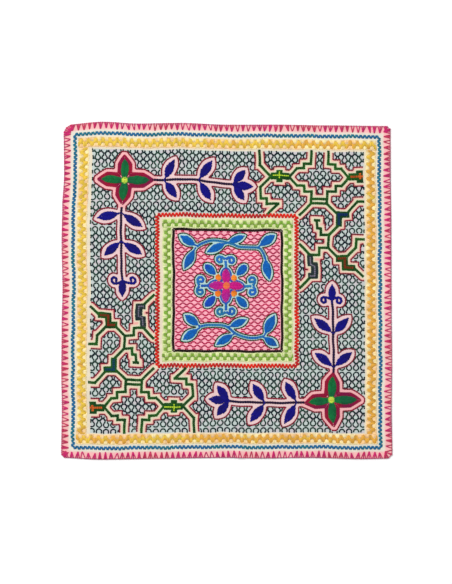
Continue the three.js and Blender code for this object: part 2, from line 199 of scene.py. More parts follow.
# Satin stitches in a leaf: how they slant, cross the middle line and vary
LEAF_PITCH, LEAF_SLANT, LEAF_OVERLAP, LEAF_UNEVEN = 0.95, 0.75, 0.9, 0.4
LEAF_STITCH = {"width": 1.5, "rise": 0.42, "height": 0.8}
# How far back stitches start, and where the one at the tip starts and how far past the tip it goes
LEAF_BACK, TIP_FROM, TIP_PAST = 0.6, 0.82, 0.3
# How much wider to each side, and longer, the pointed shape round a leaf is
FIELD_POINT, PANEL_POINT = (3.4, 4.6), (1.6, 2.8)
# How far the outlines lie from the motifs, and how thick they are
FIELD_RING, FIELD_OUTLINE = 4.2, 2.2
PANEL_RING, PANEL_OUTLINE = 2.1, 1.9
# The room that outlines and both nets need, and how many points of a line it takes for a strand
OUTLINE_RUN, FIELD_RUN, PANEL_RUN = (0.3, 3), (0.1, 4), (0.4, 5)
OUTLINE_THREAD = {"rise": 0.28, "height": 0.75}

# Stepped corners, charted on a square unit about the middle of the stepped diamond
CHART_UNIT, CHART_CENTRE, CHART_WIDTH = 3.7, np.array([119.2, 147.0]), 3.7
STEPPED_LINES = [
    [(-21, 9), (-21, 4), (-17, 0)],
    [(-17, 0), (-20.5, -3.5), (-20.5, -7.5), (-18.5, -7.5), (-18.5, -9.5), (-14.5, -9.5), (-18, -13)],
    [(-3, 9), (-3, 4.5), (-5.5, 4.5), (-5.5, 3), (-8, 3), (-10.5, 0)],
    [(-10.5, 0), (-8, -3), (-5.5, -3), (-5.5, -5), (-3, -5), (-3, -9.2)],
    [(3, 9), (3, 4.5), (5.5, 4.5), (5.5, 3), (7.5, 3), (10, 0)],
    [(10, 0), (7.5, -3), (5.5, -3), (5.5, -5), (2.5, -5), (2.5, -9.2)],
    [(-3, -7.7), (2.5, -7.7)],
    [(-7, -13.2), (-3, -9.2), (2.5, -9.2), (6, -12.7)],
    [(9.5, -12.4), (13, -8.4), (15, -8.4)],
    [(6.2, -16.8), (3, -20), (0.2, -20), (0.2, -17.8), (-1, -17.8), (-1, -15.2)],
    [(-1.8, -15.1), (-0.2, -15.1)],
    [(3, -20), (3, -24.5), (-0.2, -24.5), (-0.2, -27), (-3.5, -27), (-7, -23.5)],
    [(3, -24.5), (6, -27.5)],
    [(9.4, -27.5), (12.5, -24.4), (12.5, -21.4), (15, -21.4)],
    [(12, -31.6), (14.6, -34.2)],
    [(-3.4, -34.8), (-7, -38.4)],
]
# Blocks: colour, left, right, bottom, top
STEPPED_BLOCKS = [
    ("green", -17, -10.5, -1.0, 1.2),
    ("green", -15, -13, -2.1, 2.2),
    ("green", 10, 15, -0.9, 1.4),
    ("green", 12.8, 15, -1.9, 2.4),
    ("green", 5.6, 10.2, -13.8, -11.8),
    ("green", 5.6, 7.5, -16.9, -13.6),
    ("slate", -4.2, -2.3, -31, -27),
    ("slate", -3.1, -0.8, -33.8, -29.6),
    ("slate", -4.2, -0.8, -35.3, -33.4),
    ("green", 5.5, 9.6, -29.2, -27),
    ("green", 7.6, 9.6, -32.3, -29),
    ("green", 9.4, 12.2, -32.3, -30.4),
]
# Lines of another colour stitched on top of the blocks: colour, width in mm and places
STEPPED_INLAYS = [
    ("lime", 1.6, [(-16.3, 0.3), (-10.8, 0.3)]),
    ("lime", 1.6, [(-14, -0.8), (-14, 1.4)]),
    ("orange", 3.0, [(10.8, 0.25), (14.8, 0.25)]),
    ("orange", 3.2, [(14.1, -0.6), (14.1, 1.1)]),
    ("teal", 3.9, [(6.55, -16.3), (6.55, -12.8), (9.3, -12.8)]),
    ("grey", 1.9, [(-3.2, -27.8), (-3.2, -30.4), (-1.9, -31), (-1.9, -34.4), (-3.4, -34.4)]),
    ("brown", 3.3, [(6.3, -28.1), (8.6, -28.1), (8.6, -31.3), (11.2, -31.3)]),
]
# Stitches across a block, which go into the cloth past the edge that they show
BLOCK_PITCH, BLOCK_REACH = 1.15, 0.8
BLOCK_STITCH = {"width": 1.3, "rise": 0.4, "height": 0.8}
INLAY_RISE = 0.8
CHAIN = {"pitch": 2.5, "ends": 0.3, "root": 0.14, "opening": 0.27, "thread": 0.56, "overlap": 0.8}
CHAIN_RISE, CHAIN_STITCH = 0.42, {"height": 0.9, "jitter": 0.08}

# Middle panel
VINES = [
    [
        (-38, 56.2), (-30, 61.2), (-18.6, 64.7), (-5, 63.2), (8.5, 60.5),
        (17, 57), (39.4, 55.8), (45.8, 50), (49.4, 41),
    ],
    [(-36, -46.5), (-24, -43.2), (-9, -43.5), (1, -46.5), (11, -54), (22, -58.3), (35, -59), (47, -57.3)],
]
VINE_RADIUS, VINE_THREAD, VINE_THREAD_SIDES = 1.1, 1.7, (-0.8, 0.8)
# Foot, heading, length and width of each leaf
VINE_LEAVES = [
    (-37.5, 57.4, 151, 25, 10.5),
    (-38.8, 55.2, 240, 31, 10.5),
    (0, 61.6, 206, 27, 10.5),
    (0.8, 62.2, 22, 24, 9),
    (39.5, 56, 36, 27.5, 11),
    (49.2, 44, 280, 29, 11),
    (-34, -45, 146, 24, 10.5),
    (-34.5, -47.5, 216, 26, 10.5),
    (1, -46.5, 23, 27, 9.5),
    (10.3, -54.3, 212, 27.5, 10),
    (47.1, -57, 62, 30, 11.8),
    (46, -58.2, 328, 22, 9.5),
]
ORNAMENT_CENTRE = np.array([-1.0, 7.0])
ORNAMENT = {"petal": (22, 11), "eye": 4.8, "dot": 4.2, "dot_away": 14.0, "leaf_start": 20, "leaf": (18, 10)}
ORNAMENT_CURL = {"start": 22.0, "end": 32.5, "away": 7.2, "radius": 4.4}
ORNAMENT_EDGE = {"middle": 1.1, "edge": 2.2, "width": 2.3}

# Zigzag lines of single stitches
LINE_STITCH = {"rise": 0.35, "height": 0.85}
BLUE_LINE = {"half": (195.8, 199.3), "centre": (0, 0), "period": 5.2, "height": 5.1, "width": 2.6}
RED_LINE = {**RED_FRAME, "period": 4.4, "height": 6.3, "width": 2.3}
# Broad zigzags: half the width of the band, swing, thickness, and how square their turns are
GOLD_BAND = {
    "half": (184.7, 188.4), "centre": (0, 0), "reach": 6.8, "swing": 2.2, "thick": 6.9, "square": 2.0,
}
GREEN_BAND = {
    "half": (77.1, 85.0), "centre": (1.3, 0.9), "reach": 6.2, "swing": 2.2, "thick": 5.4, "square": 2.4,
}
BAND_PERIOD, BAND_COLUMNS, BAND_OVERLAP = 9.3, 6, 1.5
# The smallest notch beside a zigzag that is filled, and how far its filling goes under
NOTCH_ROOM, NOTCH_UNDER = 1.0, 0.1
BAND_STITCH, FILLING_STITCH = {"rise": 0.4, "height": 0.85}, {"rise": 0.3, "height": 0.8}
BLACK_LINE_SIDES, BLACK_THREAD = (-0.8, 0.8), {"width": 1.9, "rise": 0.35, "height": 0.9}

# Nets of thread
MEANDER = {"period": 9.1, "row": 4.5, "radius": 3.35, "width": 2.1, "stitch": 3.6}
# Rows of cells from one meander to the next: where there are three, the third is a row of stars
MEANDER_ROWS = [2, 2, 3, 2, 2, 2, 3]
MEANDER_ARC, MEANDER_SWAY = np.radians(np.linspace(225, -45, 13)), 0.5
MEANDER_UNEVEN, RADIUS_RANGE = 0.12, (0.96, 1.05)
PANEL_NET = {"spacing": 4.45, "period": 9.6, "neck": 1.2, "width": 2.0}
# Where in a cell its lines begin to part, over what share of it, and how finely they are drawn
PART_FROM, PART_OVER, NET_STEP, NET_SWAY = 0.78, 0.56, 0.45, 0.5
# Every other line of a net lies higher
NET_RISES, NET_THREAD = (0.22, 0.32), {"height": 0.6, "dip": 0.12}
# How far the outer net reaches past the field's edge, under the band
NET_PAST = 0.6

# Blanket stitches round the edge
EDGE_STITCH = {"pitch": 7.1, "width": 5.2, "depth": 8.2, "inset": 0.55, "thick": 1.5, "high": 0.84}
# How much they vary in depth, width and lean, and how many have a third thread between their legs
DEPTH_RANGE, WIDTH_RANGE, LEAN, MIDDLE_SHARE = (0.88, 1.1), (0.65, 1.1), 0.7, 0.75
# Share of the depth and height over the face, from the point of a stitch, over the edge, to the back
EDGE_WRAP = [
    (1.0, -0.5), (0.86, 0.3), (0.5, 0.42), (0.1, 0.36), (-0.07, 0.02),
    (-0.09, -0.35), (-0.05, -0.68), (0.12, -0.82), (0.4, -0.8),
]
RIM_SPACING, RIM_INSET = 2.4, 0.1
RIM_THREAD = {"width": 0.8, "rise": -0.3, "height": 1.0, "stitch": 3.5, "dip": 0.0}

# Camera and stage
IMAGE_HEIGHT_PX, MM_PER_PX = 584, 1.277
VIEW_CENTRE = (-0.96, -1.8)
LENS_MM, SENSOR_MM = 85.0, 36.0
FLOOR_HALF, FLOOR_GAP = 2.0, 0.0002
SKY, KEY = 0.64, {"location": (-1.5, 1.8, 3.0), "size": 1.5, "power": 104}

rng = np.random.default_rng(7)


# The lie of the cloth
def eased(rows, at):
    """Values between the rows of one side's table, with no kinks."""
    along, out = np.array(rows, float).T
    at = np.clip(at, -1, 1)
    row = np.clip(np.searchsorted(along, at) - 1, 0, len(rows) - 2)
    share = (at - along[row]) / (along[row + 1] - along[row])
    share = share * share * (3 - 2 * share)
    return out[row] + (out[row + 1] - out[row]) * share


def lie(xy):
    """Where points of the true rectangle lie on the cloth as it is."""
    u, v = xy[:, 0] / HALF_WIDTH, xy[:, 1] / HALF_HEIGHT
    right, up = (1 + u) / 2, (1 + v) / 2
    x = xy[:, 0] + right * eased(RIGHT, v) - (1 - right) * eased(LEFT, v)
    y = xy[:, 1] + up * eased(TOP, u) - (1 - up) * eased(BOTTOM, u)
    return np.c_[x, y]


def wander(xy):
    """The small drift of handwork off its true lines, which fades out towards the edge."""
    x, y = xy[:, 0], xy[:, 1]
    across = DRIFT_SLOW * np.sin(y / 8.7 + 1.3 * np.sin(x / 31)) + DRIFT_QUICK * np.sin(y / 3.9 + x / 17)
    upward = DRIFT_SLOW * np.sin(x / 9.3 + 1.1 * np.sin(y / 27) + 2) + DRIFT_QUICK * np.sin(x / 4.3 - y / 19)
    inside = np.minimum(HALF_WIDTH - np.abs(x), HALF_HEIGHT - np.abs(y))
    fade = np.clip(inside / DRIFT_FADE, 0, 1)
    return np.c_[across * fade, upward * fade]


def ripple(xy):
    """How far the cloth stands off the floor: two slow waves and the fold mark."""
    x, y = xy[:, 0], xy[:, 1]
    long_wave = 0.5 + 0.5 * np.sin(x / 41 + 0.6) * np.cos(y / 53 - 0.7)
    short_wave = 0.5 + 0.5 * np.sin((x + 0.7 * y) / 21 + 1.7)
    beside = x - CREASE["x"] - CREASE["lean"] * (y + HALF_HEIGHT)
    crease = np.exp(-((beside / CREASE["width"]) ** 2))
    crease = crease * np.clip((CREASE["end"] - y) / (CREASE["end"] + HALF_HEIGHT), 0, 1)
    return LONG_RIPPLE * long_wave + SHORT_RIPPLE * short_wave + CREASE["height"] * crease


def to_world(points):
    """Points of the design, with their height over the cloth's face, in the row frame in metres."""
    xy = lie(points[:, :2] + wander(points[:, :2]))
    z = FACE_HEIGHT + ripple(xy) + points[:, 2]
    return np.c_[xy, z] / 1000


def turned(angle):
    """Unit vectors at angles in degrees."""
    angle = np.radians(angle)
    return np.stack([np.cos(angle), np.sin(angle)], -1)


def left_of(heading):
    """Vectors a quarter turn to the left of others."""
    return np.stack([-heading[..., 1], heading[..., 0]], -1)


def resampled(path, spacing, multiple=1):
    """A path's points at even spacing, with a whole multiple of steps."""
    path = np.asarray(path, float)
    reach = np.r_[0, np.cumsum(np.linalg.norm(np.diff(path[:, :2], axis=0), axis=1))]
    steps = max(1, round(reach[-1] / spacing / multiple)) * multiple
    at = np.linspace(0, reach[-1], steps + 1)
    return np.column_stack([np.interp(at, reach, path[:, i]) for i in range(path.shape[1])])


# Meshes
def new_object(name, data):
    """An object that stands in the scene."""
    made = bpy.data.objects.new(name, data)
    bpy.context.scene.collection.objects.link(made)
    return made


def new_mesh(name, points, faces):
    """A smooth mesh from points in metres and arrays of faces."""
    mesh = bpy.data.meshes.new(name)
    mesh.from_pydata(points.tolist(), [], [face for rows in faces for face in rows.tolist()])
    mesh.shade_smooth()
    return new_object(name, mesh)


def set_values(piece, name, values):
    """Gives a piece one number at each of its points, for its material."""
    attribute = piece.data.attributes.new(name, "FLOAT", "POINT")
    attribute.data.foreach_set("value", np.asarray(values, np.float32))


class Yarn:
    """Gathers the stitches of one colour and makes them one piece."""

    def __init__(self, name, material, sides):
        self.name, self.material, self.sides = name, material, sides
        self.points, self.quads, self.caps, self.values = [], [], [], []
        self.count = 0

    def tubes(self, centres, across, upward, reach):
        """Closed tubes: centres, across and upward are (tubes, rings, 3), and reach is the length so far."""
        n, rings, _ = centres.shape
        k = self.sides
        angle = -math.pi / 2 + 2 * math.pi * np.arange(k) / k
        ring = np.cos(angle)[:, None] * across[:, :, None, :] + np.sin(angle)[:, None] * upward[:, :, None, :]
        self.points.append((centres[:, :, None, :] + ring).reshape(-1, 3))
        index = self.count + np.arange(n * rings * k).reshape(n, rings, k)
        following = np.roll(index, -1, axis=2)
        quad = np.stack([index[:, :-1], following[:, :-1], following[:, 1:], index[:, 1:]], -1)
        self.quads.append(quad.reshape(-1, 4))
        self.caps += [index[:, 0, ::-1], index[:, -1]]
        shade = np.broadcast_to(rng.uniform(-1, 1, (n, 1, 1)), (n, rings, k))
        around = np.broadcast_to(np.arange(k) / k, (n, rings, k))
        along = np.broadcast_to(reach[:, :, None], (n, rings, k))
        self.values.append(np.stack([along, around, shade], -1).reshape(-1, 3))
        self.count += n * rings * k

    def stitches(self, starts, ends, width, rise=0.3, height=0.75, jitter=0.12):
        """Straight stitches that come up at each start and go down at each end."""
        starts, ends = np.atleast_2d(starts).astype(float), np.atleast_2d(ends).astype(float)
        starts = starts + rng.normal(0, jitter, starts.shape)
        ends = ends + rng.normal(0, jitter, ends.shape)
        length = np.maximum(np.linalg.norm(ends - starts, axis=1), 0.3)
        heading = (ends - starts) / length[:, None]
        none = np.zeros(len(length))
        inset = np.minimum(STITCH_ROOT, ROOT_SHARE * length)
        reach = np.stack([none, inset, length - inset, length], 1)
        xy = starts[:, None] + heading[:, None] * reach[:, :, None]
        lift = np.array([-SINK, rise, rise, -SINK]) + rng.normal(0, LIFT_UNEVEN, (len(length), 1))
        taper = np.array([ROOT_THICK, 1, 1, ROOT_THICK])[:, None]
        across = np.c_[left_of(heading), none][:, None] * taper * width / 2
        upward = np.array([0, 0, 1]) * taper[None] * height / 2 * np.ones((len(length), 1, 1))
        self.tubes(np.dstack([xy, lift]), across, upward, reach)

    def strand(self, path, width, rise=0.3, height=0.7, stitch=3.2, dip=0.3):
        """A line of stitches along a path, each drawn in where it goes through the cloth."""
        path = resampled(path, stitch / 3, 3)
        step = np.gradient(path[:, :2], axis=0)
        step /= np.maximum(np.linalg.norm(step, axis=1), 1e-6)[:, None]
        joint = np.arange(len(path)) % 3 == 0
        full = np.where(joint, JOINT_THICK, 1.0)[:, None]
        lift = np.where(joint, rise - dip, rise)
        lift[[0, -1]] = -SINK
        centres = np.c_[path[:, :2], lift]
        across = np.c_[left_of(step), 0 * lift] * full * width / 2
        upward = np.array([[0, 0, 1]]) * full * height / 2
        reach = np.arange(len(path)) * stitch / 3
        self.tubes(centres[None], across[None], upward[None], reach[None])

    def finish(self):
        """The piece itself, with the values that its material uses."""
        faces = [np.concatenate(self.quads), np.concatenate(self.caps)]
        piece = new_mesh(self.name, to_world(np.concatenate(self.points)), faces)
        for column, name in enumerate(("along", "around", "shade")):
            set_values(piece, name, np.concatenate(self.values)[:, column])
        piece.data.materials.append(self.material)
        return piece


# Materials
def linear(colour):
    """An sRGB colour of 0 to 255 as the linear colour that a shader takes."""
    share = np.array(colour) / 255
    value = np.where(share <= 0.04045, share / 12.92, ((share + 0.055) / 1.055) ** 2.4)
    return (*value, 1.0)


class Shader:
    """Short calls for the nodes that the materials use."""

    def __init__(self, name, roughness, sheen):
        self.material = bpy.data.materials.new(name)
        self.material.use_nodes = True
        self.tree = self.material.node_tree
        self.surface = self.tree.nodes["Principled BSDF"]
        self.surface.inputs["Roughness"].default_value = roughness
        self.surface.inputs["Specular IOR Level"].default_value = 0.12
        self.surface.inputs["Sheen Weight"].default_value = sheen
        self.surface.inputs["Sheen Roughness"].default_value = 0.5

    def node(self, kind, inputs=None, **settings):
        node = self.tree.nodes.new(kind)
        for name, value in settings.items():
            setattr(node, name, value)
        for name, value in (inputs or {}).items():
            if hasattr(value, "is_linked"):
                self.tree.links.new(value, node.inputs[name])
            else:
                node.inputs[name].default_value = value
        return node

    def value(self, name):
        return self.node("ShaderNodeAttribute", attribute_name=name).outputs["Fac"]

    def math(self, operation, *values):
        return self.node("ShaderNodeMath", dict(enumerate(values)), operation=operation).outputs[0]

    def times(self, first, second):
        return self.math("MULTIPLY", first, second)

    def wave(self, angle):
        """A sine wave between 0 and 1."""
        return self.math("MULTIPLY_ADD", self.math("SINE", angle), 0.5, 0.5)

    def ramp(self, value, low, high, to_low=0.0, to_high=1.0):
        """A smooth step from one value to another."""
        inputs = {"Value": value, "From Min": low, "From Max": high, "To Min": to_low, "To Max": to_high}
        node = self.node("ShaderNodeMapRange", inputs, interpolation_type="SMOOTHSTEP")
        return node.outputs["Result"]

    def mix(self, share, first, second, blend="MIX"):
        node = self.node("ShaderNodeMix", {0: share}, data_type="RGBA", blend_type=blend)
        for socket, colour in ((6, first), (7, second)):
            if hasattr(colour, "is_linked"):
                self.tree.links.new(colour, node.inputs[socket])
            else:
                node.inputs[socket].default_value = colour
        return node.outputs[2]

    def place(self):
        return self.node("ShaderNodeTexCoord").outputs["Object"]

    def noise(self, size_mm, detail=2.0):
        inputs = {"Vector": self.place(), "Scale": 1000 / size_mm, "Detail": detail}
        return self.node("ShaderNodeTexNoise", inputs).outputs["Fac"]

    def finish(self, colour, height, strength, distance):
        """The material, with its colour and its bump."""
        bump = self.node("ShaderNodeBump", {"Height": height, "Strength": strength, "Distance": distance})
        self.tree.links.new(colour, self.surface.inputs["Base Color"])
        self.tree.links.new(bump.outputs["Normal"], self.surface.inputs["Normal"])
        return self.material


def grey(value):
    return (value, value, value, 1)


def yarn_material(name, colour, other, patch_mm=28, across=0.0):
    """Twisted cotton, whose dye drifts to another tone, the more so to the lower right, with painted shade in
    the grooves between its plies.
    """
    shader = Shader(name, roughness=0.72, sheen=0.04)
    turns = shader.times(shader.value("along"), 2 * math.pi / TWIST_MM)
    ply = shader.wave(shader.math("ADD", turns, shader.times(shader.value("around"), 4 * math.pi)))
    shade = shader.math("MULTIPLY_ADD", shader.value("shade"), 0.5, 0.5)
    drift = shader.noise(patch_mm)
    if across:
        xyz = shader.node("ShaderNodeSeparateXYZ", {"Vector": shader.place()})
        drift = shader.math("MULTIPLY_ADD", xyz.outputs["X"], across, drift)
        drift = shader.math("MULTIPLY_ADD", xyz.outputs["Y"], -0.6 * across, drift)
    drift = shader.ramp(drift, 0.4, 0.62)
    base = shader.mix(drift, linear(colour), linear(other))
    dark = shader.mix(1.0, base, grey(1 - CONTRAST), "MULTIPLY")
    light = shader.mix(1.0, base, grey(1 + CONTRAST), "MULTIPLY")
    tone = shader.mix(shade, dark, light)
    # Painted shade: the colour darkens where the ply wave is low, in the grooves of the twist.
    painted_ply_shade = shader.ramp(ply, 0.0, 0.5, 0.84, 1.0)
    fuzz = shader.ramp(shader.noise(0.35, 3.0), 0.3, 0.7, 0.93, 1.06)
    tone = shader.mix(1.0, tone, shader.times(painted_ply_shade, fuzz), "MULTIPLY")
    return shader.finish(tone, shader.times(ply, fuzz), strength=0.6, distance=0.00016)


def ground_material():
    """Plain-weave cotton, dyed by place, with painted shade in the hollows of its weave and a little painted
    light on its raised threads.
    """
    shader = Shader("cotton_ground", roughness=0.85, sheen=0.05)
    xyz = shader.node("ShaderNodeSeparateXYZ", {"Vector": shader.place()})
    warp, weft = (
        shader.math("SINE", shader.times(xyz.outputs[axis], 2 * math.pi / WEAVE)) for axis in ("X", "Y")
    )
    weave = shader.math("MULTIPLY_ADD", shader.times(warp, weft), 0.5, 0.5)
    net_ground = shader.mix(shader.ramp(shader.noise(7), 0.48, 0.62), linear(MINT), linear(LILAC))
    colour = linear(CREAM)
    for name, start, full, share, tone in GROUND_LAYERS:
        over = net_ground if tone == MINT else linear(tone)
        colour = shader.mix(shader.ramp(shader.value(name), start, full, 0.0, share), colour, over)
    worn = shader.ramp(shader.noise(9, 4.0), 0.3, 0.7, 0.94, 1.03)
    # Painted light and shade: darker where the weave's bump is low, a little lighter where it is high.
    painted_weave_light = shader.ramp(weave, 0.0, 0.6, 0.9, 1.02)
    colour = shader.mix(1.0, colour, shader.times(worn, painted_weave_light), "MULTIPLY")
    return shader.finish(colour, weave, strength=0.5, distance=0.0002)


def floor_material():
    shader = Shader("pale_floor", roughness=0.9, sheen=0.0)
    tone = shader.ramp(shader.noise(400), 0.2, 0.8, 0.985, 1.0)
    colour = shader.mix(1.0, grey(0.96), tone, "MULTIPLY")
    return shader.finish(colour, shader.noise(2), strength=0.02, distance=0.0001)


# Distance from the motifs, on a grid
CELL = 0.5
GRID_X = np.arange(-182, 182 + CELL, CELL)
GRID_Y = np.arange(-186, 186 + CELL, CELL)
FAR = 60.0


def segment_distance(x, y, a, b):
    """How far points are from the straight line between two others."""
    run = b - a
    share = np.clip(((x - a[0]) * run[0] + (y - a[1]) * run[1]) / max(float(run @ run), 1e-9), 0, 1)
    return np.hypot(x - a[0] - run[0] * share, y - a[1] - run[1] * share)


class Distance:
    """How far each place is from the nearest of the shapes added, negative inside them."""

    def __init__(self):
        self.value = np.full((len(GRID_Y), len(GRID_X)), FAR)

    def lower(self, low, high, measure, margin=14):
        """Takes the smaller of the value so far and a new measure, near a shape."""
        i = slice(*np.searchsorted(GRID_X, (low[0] - margin, high[0] + margin)))
        j = slice(*np.searchsorted(GRID_Y, (low[1] - margin, high[1] + margin)))
        x, y = np.meshgrid(GRID_X[i], GRID_Y[j])
        self.value[j, i] = np.minimum(self.value[j, i], measure(x, y))

    def line(self, points, radius):
        """A line of even thickness through some points; one point alone is a disc."""
        points = np.atleast_2d(points)
        for a, b in zip(points, points[1:] if len(points) > 1 else points):
            self.lower(
                np.minimum(a, b), np.maximum(a, b), lambda x, y: segment_distance(x, y, a, b) - radius
            )

    def polygon(self, points, less=0):
        """A closed shape given by its corners, made smaller by some distance."""
        def measure(x, y):
            away, inside = np.full(x.shape, FAR), np.zeros(x.shape, bool)
            for a, b in zip(points, np.roll(points, -1, axis=0)):
                away = np.minimum(away, segment_distance(x, y, a, b))
                crossing = x < a[0] + (y - a[1]) * (b[0] - a[0]) / (b[1] - a[1] + 1e-12)
                inside ^= ((a[1] > y) != (b[1] > y)) & crossing
            return np.where(inside, -away, away) + less

        self.lower(points.min(axis=0), points.max(axis=0), measure)

    def rectangle(self, low, high):
        """A rectangle whose offsets keep square corners."""
        low, high = np.minimum(low, high), np.maximum(low, high)
        middle, half = (low + high) / 2, (high - low) / 2

        def measure(x, y):
            return np.maximum(np.abs(x - middle[0]) - half[0], np.abs(y - middle[1]) - half[1])

        self.lower(low, high, measure)

    def merge(self, other):
        """Adds all the shapes of another one."""
        self.value = np.minimum(self.value, other.value)
        return self

    def at(self, xy):
        """The distance at points anywhere on the cloth."""
        u = np.clip((xy[:, 0] - GRID_X[0]) / CELL, 0, len(GRID_X) - 1.001)
        v = np.clip((xy[:, 1] - GRID_Y[0]) / CELL, 0, len(GRID_Y) - 1.001)
        i, j = u.astype(int), v.astype(int)
        s, t = u - i, v - j
        near = self.value[j, i] * (1 - s) + self.value[j, i + 1] * s
        far = self.value[j + 1, i] * (1 - s) + self.value[j + 1, i + 1] * s
        return near * (1 - t) + far * t

    def contours(self, level):
        """The lines at one distance from the shapes, as paths."""
        value = self.value - level
        below = value < 0
        corners = (below[:-1, :-1], below[:-1, 1:], below[1:, :-1], below[1:, 1:])
        rows, columns = np.nonzero(np.sum(corners, axis=0) % 4)
        links = {}
        for j, i in zip(rows.tolist(), columns.tolist()):
            edges = []
            for key, first, second in (
                (("h", j, i), below[j, i], below[j, i + 1]),
                (("v", j, i + 1), below[j, i + 1], below[j + 1, i + 1]),
                (("h", j + 1, i), below[j + 1, i + 1], below[j + 1, i]),
                (("v", j, i), below[j + 1, i], below[j, i]),
            ):
                if first != second:
                    edges.append(key)
            for a, b in zip(edges[::2], edges[1::2]):
                links.setdefault(a, []).append(b)
                links.setdefault(b, []).append(a)
        return [self.trace(path, value) for path in linked_paths(links)]

    def trace(self, keys, value):
        """Where a contour crosses each of a row of grid edges."""
        points = []
        for kind, j, i in keys:
            other = (j, i + 1) if kind == "h" else (j + 1, i)
            share = value[j, i] / (value[j, i] - value[other])
            x, y = GRID_X[i], GRID_Y[j]
            points.append((x + share * CELL, y) if kind == "h" else (x, y + share * CELL))
        return np.array(points)


def linked_paths(links):
    """Walks each chain of linked keys once, open chains from their ends first."""
    paths, used = [], set()
    for start in sorted(links, key=lambda key: len(links[key])):
        if start in used:
            continue
        path, here = [start], start
        used.add(start)
        while True:
            onward = [key for key in links[here] if key not in used]
            if not onward:
                break
            here = onward[0]
            used.add(here)
            path.append(here)
        if here in links and start in links[here] and len(path) > 2:
            path.append(start)
        if len(path) > 3:
            paths.append(path)
    return paths


def sew_runs(yarn, path, room, run, width, **thread):
    """Strands along the stretches of a path that have room, if these are long enough."""
    least_room, least = run
    edges = np.flatnonzero(np.diff(np.r_[False, room(path) > least_room, False].astype(int)))
    for first, last in zip(edges[::2], edges[1::2]):
        if last - first >= least:
            yarn.strand(path[first:last], width, **thread)


def inside_box(xy, half, centre):
    """How far points are inside a rectangle, negative outside."""
    gap = np.array(half) - np.abs(xy - np.array(centre))
    return gap.min(axis=1)


def in_field(xy):
    """How far points are inside the outer field, between its border and the red line."""
    half = np.array(RED_FRAME["half"]) + RED_LINE_ROOM
    return np.minimum(inside_box(xy, **FIELD), -inside_box(xy, half, RED_FRAME["centre"]))


def in_panel(xy):
    return inside_box(xy, np.array(PANEL["half"]) - BLACK_LINE_ROOM, PANEL["centre"])


# Leaves and petals
def leaf_half(share, width):
    """Half the width of a leaf at shares of its length: a short neck, then a full pointed oval."""
    oval = np.clip((share - LEAF_NECK) / (1 - LEAF_NECK), 0, 1)
    oval_half = width / 2 * np.sin(math.pi * oval**LEAF_LEAN) ** LEAF_FULLNESS
    return np.maximum(oval_half, NECK_HALF * (1 - share))


def petal_half(share, width):
    """Half the width of a petal, widest a little past its middle."""
    return width / 2 * np.sin(math.pi * np.clip(share, 0, 1) ** PETAL_LEAN) ** PETAL_FULLNESS


def arm_half(share, width):
    """Half the width of the border round a petal: straight sides and a pointed end."""
    return width / 2 * np.clip((1 - share) / ARM_POINT, ARM_BLUNTNESS, 1) ** ARM_FULLNESS


Leaf = namedtuple("Leaf", "base heading length width")


def leaf_outline(leaf, half):
    """The corners of a leaf, up one side and back down the other."""
    share = np.linspace(0, 1, 15)
    spine = leaf.base + turned(leaf.heading) * share[:, None] * leaf.length
    off = turned(leaf.heading + 90) * half(share, leaf.width)[:, None]
    return np.vstack([spine - off, (spine + off)[::-1]])


def add_leaf(distance, leaf, spread, beyond):
    """Adds a leaf to a distance, with a larger one whose point the ring round it follows."""
    distance.polygon(leaf_outline(leaf, leaf_half))
    larger = Leaf(leaf.base, leaf.heading, leaf.length + beyond, leaf.width + 2 * spread)
    distance.polygon(leaf_outline(larger, leaf_half), spread)


def fill_leaf(yarn, leaf, half_width=leaf_half):
    """Slanting stitches from the middle of a leaf to both its edges, and a long one at its tip."""
    base, length, heading = leaf.base, leaf.length, turned(leaf.heading)
    sideways = left_of(heading)
    count = int(length / LEAF_PITCH)
    share = (np.arange(count) + 0.6) / count
    half = half_width(share, leaf.width) + rng.uniform(-LEAF_UNEVEN, LEAF_UNEVEN, count)
    outer_along = share * length
    inner_along = np.maximum(outer_along - LEAF_SLANT * half - LEAF_BACK, 0)
    for side in (1, -1):
        outer = base + heading * outer_along[:, None] + sideways * side * half[:, None]
        inner = base + heading * inner_along[:, None] - sideways * side * LEAF_OVERLAP
        yarn.stitches(inner, outer, **LEAF_STITCH)
    yarn.stitches(base + heading * length * TIP_FROM, base + heading * (length + TIP_PAST), **LEAF_STITCH)


def scroll_path(base, turn, handed, away, radius):
    """A line that leaves the end of a stem, swings outward past its tip and curls up."""
    ahead, side = turned(turn), turned(turn + 90 * handed)
    share = np.linspace(0, 1, 24)
    reach = radius + (SCROLL_INNER - radius) * share
    curl = base + side * away + turned(turn + handed * share * SCROLL_TURNS * 360) * reach[:, None]
    link = [base + ahead * radius * 0.3, base + side * away * 0.5 + ahead * radius * 0.85]
    return np.vstack([link, curl])


class Branch:
    """The leaves and stem lines of one branch, in the plane of the cloth."""

    def __init__(self, number):
        flower, turn, side, end, end_side, tip = BRANCHES[number]
        self.start, self.turn, self.ahead = FLOWERS[flower], turn, turned(turn)
        self.leaves = []
        for branch, at, left_length, left_turn, right_length, right_turn in LEAF_PAIRS:
            if branch == number:
                foot = last = self.place(at, side)
                self.leaves.append(Leaf(foot, turn + left_turn, left_length, LEAF_WIDTH))
                self.leaves.append(Leaf(foot, turn - right_turn, right_length, LEAF_WIDTH))
        self.base = self.place(end, end_side)
        self.stems = [np.array([self.place(STEM_START, side), last, self.base])]
        if tip == "trefoil":
            self.leaves += [Leaf(self.base, turn + lobe, length, width) for lobe, length, width in TREFOIL]
        else:
            foot = self.base - self.ahead * BUD["back"]
            self.leaves.append(Leaf(foot, turn, BUD["length"], BUD["width"]))
            _, left_away, right_away, radius = next(row for row in SCROLLS if row[0] == number)
            self.stems.append(scroll_path(self.base, turn, 1, left_away, radius))
            self.stems.append(scroll_path(self.base, turn, -1, right_away, radius))

    def place(self, along, off):
        """A point on the cloth from how far along the branch and how far to its left it is."""
        return self.start + self.ahead * along + turned(self.turn + 90) * off


